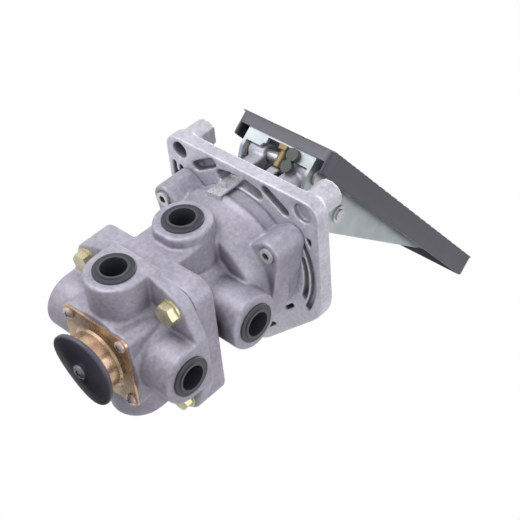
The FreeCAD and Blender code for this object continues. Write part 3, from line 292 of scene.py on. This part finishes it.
def cast_material(name, dark, light, metallic, roughness, grain_depth):
    """Blasted casting: mottled grey, fine grain, brighter worn edges, painted shade in creases and
    hollows.
    """
    material, tree, shader = new_material(name, light, metallic, roughness)
    place = place_vector(tree)
    cloud = noise(tree, place, CLOUD_SCALE)
    mottle = noise(tree, place, MOTTLE_SCALE, detail=5.0)
    base = ramp(tree, cloud, two_tone(dark, light))
    speck = ramp(tree, mottle, [(0.35, shaded(dark, SPECK_DARK)), (0.65, shaded(light, SPECK_LIGHT))])
    colour = mixed(tree, SPECK_SHARE, base, speck)
    colour = mixed(tree, edges(tree, *CAST_EDGES), colour, shaded(light, CAST_EDGE_LIGHT))
    # Painted shade: creases darkened in the colour
    colour = mixed(tree, edges(tree, *CAST_SHADED_CREASES), colour, shaded(dark, CAST_CREASE_SHADE))
    # Painted shade: the colour darkens where ambient occlusion finds the surface shut in
    colour = mixed(tree, painted_shade(tree, *SHADE_OPENNESS), colour, shaded(dark, CAST_HOLLOW_SHADE))
    tree.links.new(colour, shader.inputs["Base Color"])
    rough_spread(tree, shader, mottle, roughness, CAST_SHEEN)
    grain = noise(tree, place, CAST_GRAIN_SCALE, detail=3.0)
    dents = noise(tree, place, DENT_SCALE, detail=3.0)
    bump(tree, shader, [(dents, grain_depth * 2), (grain, grain_depth)])
    return material


def rubber_material(name, dark, light, roughness, grain_depth, scuff):
    """Moulded rubber: dusty patches, soft scuffs on the edges, a fine grain and painted shade in its
    hollows.
    """
    material, tree, shader = new_material(name, dark, 0.0, roughness)
    place = place_vector(tree)
    dust = noise(tree, place, DUST_SCALE, detail=6.0)
    colour = ramp(tree, dust, [(0.35, dark), (0.75, light)])
    colour = mixed(tree, edges(tree, *RUBBER_EDGES), colour, scuff)
    # Painted shade in the rubber's hollows, from ambient occlusion
    colour = mixed(tree, painted_shade(tree, *SHADE_OPENNESS), colour, shaded(dark, RUBBER_HOLLOW_SHADE))
    tree.links.new(colour, shader.inputs["Base Color"])
    rough_spread(tree, shader, dust, roughness, RUBBER_SHEEN)
    grain = noise(tree, place, RUBBER_GRAIN_SCALE, detail=3.0)
    bump(tree, shader, [(grain, grain_depth)])
    return material


def plated_material(name, stops, roughness, scale=FILM_SCALE, metallic=1.0):
    """Plated or bare steel: colour drifts over the surface, with fine scratches and painted shade in its
    hollows.
    """
    material, tree, shader = new_material(name, stops[0][1], metallic, roughness)
    place = place_vector(tree)
    film = noise(tree, place, scale, detail=3.0)
    colour = ramp(tree, film, stops)
    # Painted shade in the steel's hollows, from ambient occlusion
    shade_share = painted_shade(tree, *PLATED_SHADE_OPENNESS)
    colour = mixed(tree, shade_share, colour, shaded(stops[0][1], PLATED_HOLLOW_SHADE))
    tree.links.new(colour, shader.inputs["Base Color"])
    scratches = noise(tree, place_vector(tree, SCRATCH_STRETCH), SCRATCH_SCALE)
    rough_spread(tree, shader, scratches, roughness, PLATED_SHEEN)
    bump(tree, shader, [(scratches, SCRATCH_DEPTH)])
    return material


def make_materials():
    """Every material, by the record's slot or by the name in OWN_LOOKS."""
    made = {}
    made["body_casting"] = cast_material(
        "body casting", dark=(0.255, 0.244, 0.295), light=(0.39, 0.373, 0.445),
        metallic=0.30, roughness=0.50, grain_depth=0.05 * MM)
    made["plate_casting"] = cast_material(
        "plate casting", dark=(0.37, 0.365, 0.42), light=(0.56, 0.555, 0.62),
        metallic=0.40, roughness=0.42, grain_depth=0.04 * MM)
    made["bolt_steel"] = plated_material(
        "bolt zinc", [(0.3, (0.40, 0.35, 0.20)), (0.5, (0.56, 0.51, 0.35)), (0.7, (0.44, 0.42, 0.26))],
        roughness=0.28, metallic=0.7)
    made["yellow_zinc"] = plated_material(
        "yellow zinc",
        [(0.28, (0.34, 0.16, 0.14)), (0.40, (0.58, 0.33, 0.24)), (0.50, (0.60, 0.44, 0.28)),
         (0.60, (0.34, 0.24, 0.17)), (0.72, (0.60, 0.34, 0.33))],
        roughness=0.22, scale=CAP_FILM_SCALE, metallic=0.75)
    made["cap_screw_zinc"] = plated_material(
        "cap screw zinc", two_tone((0.56, 0.44, 0.44), (0.70, 0.62, 0.62)),
        roughness=0.28, metallic=0.65)
    made["stop_bronze"] = plated_material(
        "dark bronze", two_tone((0.16, 0.11, 0.05), (0.27, 0.20, 0.10)), roughness=0.36, metallic=0.6)
    made["bright_steel"] = plated_material(
        "bright steel", two_tone((0.46, 0.46, 0.49), (0.66, 0.66, 0.70)), roughness=0.26, metallic=0.6)
    made["black_rubber"] = rubber_material(
        "black rubber", dark=(0.028, 0.027, 0.036), light=(0.05, 0.048, 0.062),
        roughness=0.5, grain_depth=0.02 * MM, scuff=(0.065, 0.062, 0.078))
    made["spring_rubber"] = rubber_material(
        "spring rubber", dark=(0.03, 0.03, 0.03), light=(0.06, 0.06, 0.06),
        roughness=0.6, grain_depth=0.02 * MM, scuff=(0.1, 0.1, 0.1))
    made["pad_rubber"] = rubber_material(
        "pad rubber", dark=(0.030, 0.029, 0.042), light=(0.056, 0.054, 0.072),
        roughness=0.46, grain_depth=0.03 * MM, scuff=(0.085, 0.082, 0.105))
    made["flap_rubber"] = rubber_material(
        "flap rubber", dark=(0.080, 0.074, 0.105), light=(0.125, 0.117, 0.155),
        roughness=0.42, grain_depth=0.02 * MM, scuff=(0.22, 0.21, 0.26))
    made["buffer_rubber"] = rubber_material(
        "buffer rubber", dark=(0.018, 0.022, 0.020), light=(0.034, 0.042, 0.038),
        roughness=0.5, grain_depth=0.02 * MM, scuff=(0.045, 0.055, 0.050))
    made["port_ring"] = rubber_material(
        "port ring plastic", dark=(0.014, 0.015, 0.022), light=(0.030, 0.031, 0.042),
        roughness=0.38, grain_depth=0.01 * MM, scuff=(0.040, 0.042, 0.055))
    made["channel_steel"] = plated_material(
        "channel zinc", two_tone((0.30, 0.33, 0.35), (0.50, 0.54, 0.56)),
        roughness=0.34, scale=CHANNEL_FILM_SCALE, metallic=0.55)
    made["dark_plate"] = rubber_material(
        "dark plate", dark=(0.05, 0.05, 0.06), light=(0.09, 0.09, 0.10),
        roughness=0.4, grain_depth=0.01 * MM, scuff=(0.16, 0.16, 0.18))
    made["pin_steel"] = plated_material(
        "pin steel", two_tone((0.42, 0.42, 0.44), (0.56, 0.56, 0.58)), roughness=0.28, metallic=0.7)
    made["spring_steel"] = plated_material(
        "spring steel", two_tone((0.26, 0.26, 0.29), (0.38, 0.38, 0.41)), roughness=0.34, metallic=0.8)
    made["bush_bronze"] = plated_material(
        "bush bronze", two_tone((0.46, 0.30, 0.13), (0.60, 0.42, 0.21)), roughness=0.34, metallic=0.8)
    made["inner_alloy"] = plated_material(
        "inner alloy", two_tone((0.50, 0.50, 0.53), (0.62, 0.62, 0.64)), roughness=0.32, metallic=0.6)
    return made


def dress_nodes(materials):
    """Gives every CAD node the material of its slot, or its own where the photograph differs."""
    for part in frame["record"]["subparts"]:
        mesh = NODES[part["node"]].data
        mesh.materials.clear()
        mesh.materials.append(materials[OWN_LOOKS.get(part["node"], part["material_slot"])])


def finished(piece, mesh, name, body, nodes, material):
    """Puts a finished mesh on a piece, hides the CAD nodes it stands in for, and hangs it on the body it
    rides on.
    """
    piece.modifiers.clear()
    piece.data = mesh
    mesh.materials.clear()
    mesh.materials.append(material)
    for polygon in mesh.polygons:
        polygon.use_smooth = True
    piece.name = name
    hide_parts(*nodes)
    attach(piece, body)


def baked(piece):
    """The mesh of a piece with its modifiers applied."""
    bpy.context.view_layer.update()
    graph = bpy.context.evaluated_depsgraph_get()
    return bpy.data.meshes.new_from_object(piece.evaluated_get(graph))


def box_corners(low, high):
    """Corners and faces of a box between two places."""
    corners = [(x, y, z) for z in (low[2], high[2]) for y in (low[1], high[1]) for x in (low[0], high[0])]
    faces = [(0, 2, 3, 1), (4, 5, 7, 6), (0, 1, 5, 4), (2, 6, 7, 3), (0, 4, 6, 2), (1, 3, 7, 5)]
    return corners, faces


def above_lugs():
    """Ring round the neck that the photograph shows empty, from the lugs' end to the flange's."""
    turns = [2 * math.pi * i / GAP_STEPS for i in range(GAP_STEPS)]
    ring = [(math.cos(turn), math.sin(turn)) for turn in turns]
    verts = []
    for z in (LUG_END, FLANGE_END + MM):
        verts += [(x * NECK_CLEAR, y * NECK_CLEAR, z) for x, y in ring]
        verts += [(x * GAP_REACH, y * GAP_REACH, z) for x, y in ring]
    faces = []
    for i in range(GAP_STEPS):
        inner, outer, inner_top, outer_top = range(i, 4 * GAP_STEPS, GAP_STEPS)
        j = (i + 1) % GAP_STEPS
        inner_next, outer_next, inner_top_next, outer_top_next = range(j, 4 * GAP_STEPS, GAP_STEPS)
        faces.append((inner, inner_next, outer_next, outer))
        faces.append((inner_top, outer_top, outer_top_next, inner_top_next))
        faces.append((inner, inner_top, inner_top_next, inner_next))
        faces.append((outer, outer_next, outer_top_next, outer_top))
    return verts, faces


def helper(name, verts, faces):
    """Closed object used only to cut or to join, and deleted afterwards."""
    mesh = bpy.data.meshes.new(name)
    mesh.from_pydata(verts, [], faces)
    shell = bmesh.new()
    shell.from_mesh(mesh)
    bmesh.ops.recalc_face_normals(shell, faces=shell.faces)
    shell.to_mesh(mesh)
    shell.free()
    item = bpy.data.objects.new(name, mesh)
    bpy.context.scene.collection.objects.link(item)
    return item


def upper_body_steps():
    """Cuts the lugs down to LUG_END, and adds the column under the back port.

    The port's bore isn't cut through the column, which closes the lower half of that bore.
    """
    gap = helper("gap", *above_lugs())
    column = helper("column", *box_corners((-COLUMN_FACE, -COLUMN_HALF, SEAM + MM),
                                           (-COLUMN_ROOT, COLUMN_HALF, COLUMN_END)))
    return [(gap, "DIFFERENCE"), (column, "UNION")]


def skinned(piece, voxel):
    """Adds a closed skin of even small faces."""
    skin = piece.modifiers.new("skin", "REMESH")
    skin.mode = "VOXEL"
    skin.voxel_size = voxel


def bent_flap(material):
    """Rubber disc whose rim is bent up on two sides, as the photograph shows it."""
    piece = bpy.data.objects.new("bent_flap", NODES["exhaust_flap"].data.copy())
    bpy.context.scene.collection.objects.link(piece)
    skinned(piece, FLAP_VOXEL)
    mesh = baked(piece)
    across = Vector((1.0, 1.0, 0.0)).normalized()
    for vertex in mesh.vertices:
        off = vertex.co.dot(across)
        share = min(1.0, abs(off) / FLAP_RADIUS)
        vertex.co += across * (-off * FLAP_NARROWING * share)
        vertex.co.z += FLAP_BEND * share * share
    finished(piece, mesh, "exhaust_flap_bent", "housing", ["exhaust_flap"], material)


def softened_casting(node, material, steps=()):
    """Skin over a casting's solid whose edges and corners are rounded as a mould leaves them."""
    piece = bpy.data.objects.new(node + "_skin", NODES[node].data.copy())
    bpy.context.scene.collection.objects.link(piece)
    skinned(piece, CAST_VOXEL)
    for tool, operation in steps:
        step = piece.modifiers.new(operation, "BOOLEAN")
        step.operation = operation
        step.object = tool
        step.solver = "MANIFOLD"
    if steps:
        skinned(piece, CAST_VOXEL)
    soft = piece.modifiers.new("soft", "SMOOTH")
    soft.factor = CAST_SOFTENING_STEP
    soft.iterations = CAST_SOFTENING
    mesh = baked(piece)
    for tool, _ in steps:
        bpy.data.objects.remove(tool)
    finished(piece, mesh, node + "_casting", "housing", [node], material)


def add_camera():
    """Camera at the photograph's angle. Returns the view's right, up and back."""
    data = bpy.data.cameras.new("camera")
    data.lens = CAMERA_LENS
    data.sensor_width = CAMERA_SENSOR
    data.clip_start = CAMERA_NEAR
    data.clip_end = CAMERA_FAR
    camera = bpy.data.objects.new("camera", data)
    back = -CAMERA_AHEAD
    right = (CAMERA_RIGHT - back * CAMERA_RIGHT.dot(back)).normalized()
    up = back.cross(right)
    turn = Matrix((right, up, back)).transposed().to_4x4()
    camera.matrix_world = Matrix.Translation(CAMERA_PLACE) @ turn
    bpy.context.scene.collection.objects.link(camera)
    bpy.context.scene.camera = camera
    return right, up, back


def add_lamp(name, offset, size, power, view):
    """Square soft lamp aimed at the object, placed by the view's right, up and back."""
    place = LIGHT_TARGET.copy()
    for share, way in zip(offset, view):
        place += way * share
    data = bpy.data.lights.new(name, "AREA")
    data.size = size
    data.energy = power
    lamp = bpy.data.objects.new(name, data)
    lamp.location = place
    lamp.rotation_euler = (LIGHT_TARGET - place).to_track_quat("-Z", "Y").to_euler()
    bpy.context.scene.collection.objects.link(lamp)


def add_sky_lamp():
    """Wide soft light from straight above that falls evenly on the whole floor."""
    data = bpy.data.lights.new("overhead", "SUN")
    data.energy = SKY_STRENGTH
    data.angle = SKY_SPREAD
    lamp = bpy.data.objects.new("overhead", data)
    bpy.context.scene.collection.objects.link(lamp)


def add_floor():
    """Pale floor that is seen from above only and lets the lamps below shine through."""
    low = cad_box[0][2] - FLOOR_GAP
    half = FLOOR_SIZE / 2
    mesh = bpy.data.meshes.new("floor")
    corners = [(-half, -half, low), (half, -half, low), (half, half, low), (-half, half, low)]
    mesh.from_pydata(corners, [], [(0, 1, 2, 3)])
    floor = bpy.data.objects.new("floor", mesh)
    bpy.context.scene.collection.objects.link(floor)
    material, tree, shader = new_material("floor", FLOOR_COLOUR, 0.0, FLOOR_ROUGHNESS)
    geometry = tree.nodes.new("ShaderNodeNewGeometry")
    path = tree.nodes.new("ShaderNodeLightPath")
    hidden = tree.nodes.new("ShaderNodeMath")
    hidden.operation = "MAXIMUM"
    clear = tree.nodes.new("ShaderNodeBsdfTransparent")
    blend = tree.nodes.new("ShaderNodeMixShader")
    tree.links.new(geometry.outputs["Backfacing"], hidden.inputs[0])
    tree.links.new(path.outputs["Is Shadow Ray"], hidden.inputs[1])
    tree.links.new(hidden.outputs[0], blend.inputs["Fac"])
    tree.links.new(shader.outputs["BSDF"], blend.inputs[1])
    tree.links.new(clear.outputs["BSDF"], blend.inputs[2])
    tree.links.new(blend.outputs["Shader"], tree.nodes["Material Output"].inputs["Surface"])
    mesh.materials.append(material)


def add_world():
    """White surroundings for the camera and reflections, softer light for the rest."""
    world = bpy.data.worlds.new("world")
    world.use_nodes = True
    tree = world.node_tree
    surround = tree.nodes["Background"]
    surround.inputs["Color"].default_value = (1.0, 1.0, 1.0, 1.0)
    surround.inputs["Strength"].default_value = 1.0
    soft = tree.nodes.new("ShaderNodeBackground")
    soft.inputs["Color"].default_value = WORLD_TINT
    soft.inputs["Strength"].default_value = WORLD_STRENGTH
    path = tree.nodes.new("ShaderNodeLightPath")
    seen = tree.nodes.new("ShaderNodeMath")
    seen.operation = "MAXIMUM"
    seen_too = tree.nodes.new("ShaderNodeMath")
    seen_too.operation = "MAXIMUM"
    blend = tree.nodes.new("ShaderNodeMixShader")
    tree.links.new(path.outputs["Is Camera Ray"], seen.inputs[0])
    tree.links.new(path.outputs["Is Glossy Ray"], seen.inputs[1])
    tree.links.new(seen.outputs[0], seen_too.inputs[0])
    tree.links.new(path.outputs["Is Transmission Ray"], seen_too.inputs[1])
    tree.links.new(seen_too.outputs[0], blend.inputs["Fac"])
    tree.links.new(soft.outputs["Background"], blend.inputs[1])
    tree.links.new(surround.outputs["Background"], blend.inputs[2])
    tree.links.new(blend.outputs["Shader"], tree.nodes["World Output"].inputs["Surface"])
    bpy.context.scene.world = world


def add_lights(view):
    """Soft key from the view's upper left, fill from its right, rim from behind, sky from above."""
    add_lamp("key", KEY_PLACE, KEY_SIZE, KEY_POWER, view)
    add_lamp("fill", FILL_PLACE, FILL_SIZE, FILL_POWER, view)
    add_lamp("rim", RIM_PLACE, RIM_SIZE, RIM_POWER, view)
    add_sky_lamp()


view = add_camera()
materials = make_materials()
dress_nodes(materials)
softened_casting("mounting_plate", materials["plate_casting"])
softened_casting("upper_body", materials["body_casting"], upper_body_steps())
softened_casting("lower_body", materials["body_casting"])
bent_flap(materials["flap_rubber"])
add_floor()
add_world()
add_lights(view)
bpy.context.scene.view_settings.view_transform = "Standard"
